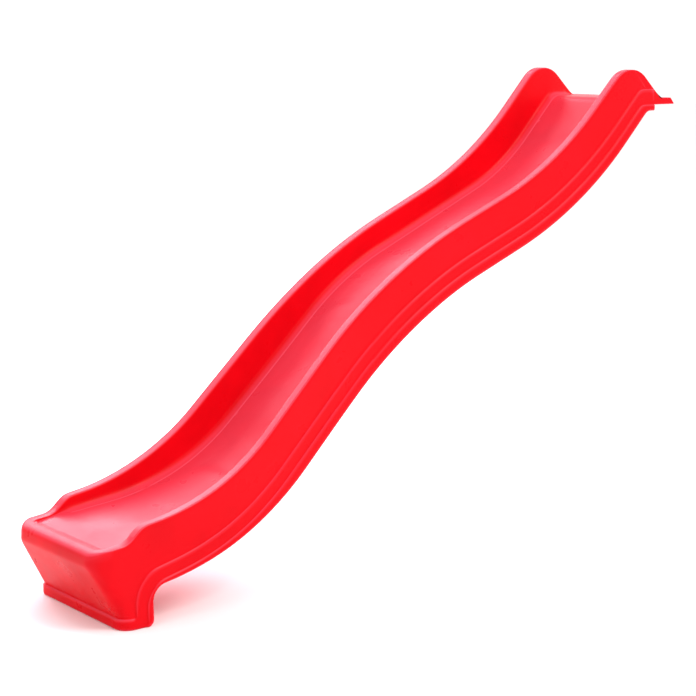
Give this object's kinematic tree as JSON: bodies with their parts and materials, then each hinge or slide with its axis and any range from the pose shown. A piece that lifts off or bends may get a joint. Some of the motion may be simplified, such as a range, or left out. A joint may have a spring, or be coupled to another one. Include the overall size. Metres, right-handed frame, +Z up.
{
  "type": "wave slide",
  "caption": "Moulded plastic playground chute with a waved bed, raised side rims, a rounded nose on a boxy foot and a flat lip that screws down on a platform.",
  "frame": {"origin": "on the ground, under the middle of the slide's length and width", "axes": "+X uphill from the nose to the lip, +Y across the chute, +Z up"},
  "size_m": [2.515, 0.5, 1.628],
  "materials": {
    "chute_plastic": "glossy moulded plastic with a faint orange-peel texture",
    "under_plastic": "glossy moulded plastic",
    "cap_plastic": "glossy moulded plastic",
    "screw_steel": "zinc plated",
    "fitting_plastic": "matte moulded plastic",
    "seal_rubber": "matte",
    "plug_plastic": "matte moulded plastic"
  },
  "bodies": {
    "root": {"chute_top_skin": "chute_plastic", "chute_under_skin": "under_plastic", "cap_base_left": "cap_plastic", "lip_washer_left": "screw_steel", "lip_screw_left": "screw_steel", "cap_lid_left": "cap_plastic", "cap_base_centre": "cap_plastic", "lip_washer_centre": "screw_steel", "lip_screw_centre": "screw_steel", "cap_lid_centre": "cap_plastic", "cap_base_right": "cap_plastic", "lip_washer_right": "screw_steel", "lip_screw_right": "screw_steel", "cap_lid_right": "cap_plastic", "water_outlet": "fitting_plastic", "water_seal": "seal_rubber", "water_nut": "fitting_plastic", "hose_tail": "fitting_plastic", "drain_plug_left": "plug_plastic", "drain_plug_right": "plug_plastic"}
  },
  "joints": []
}
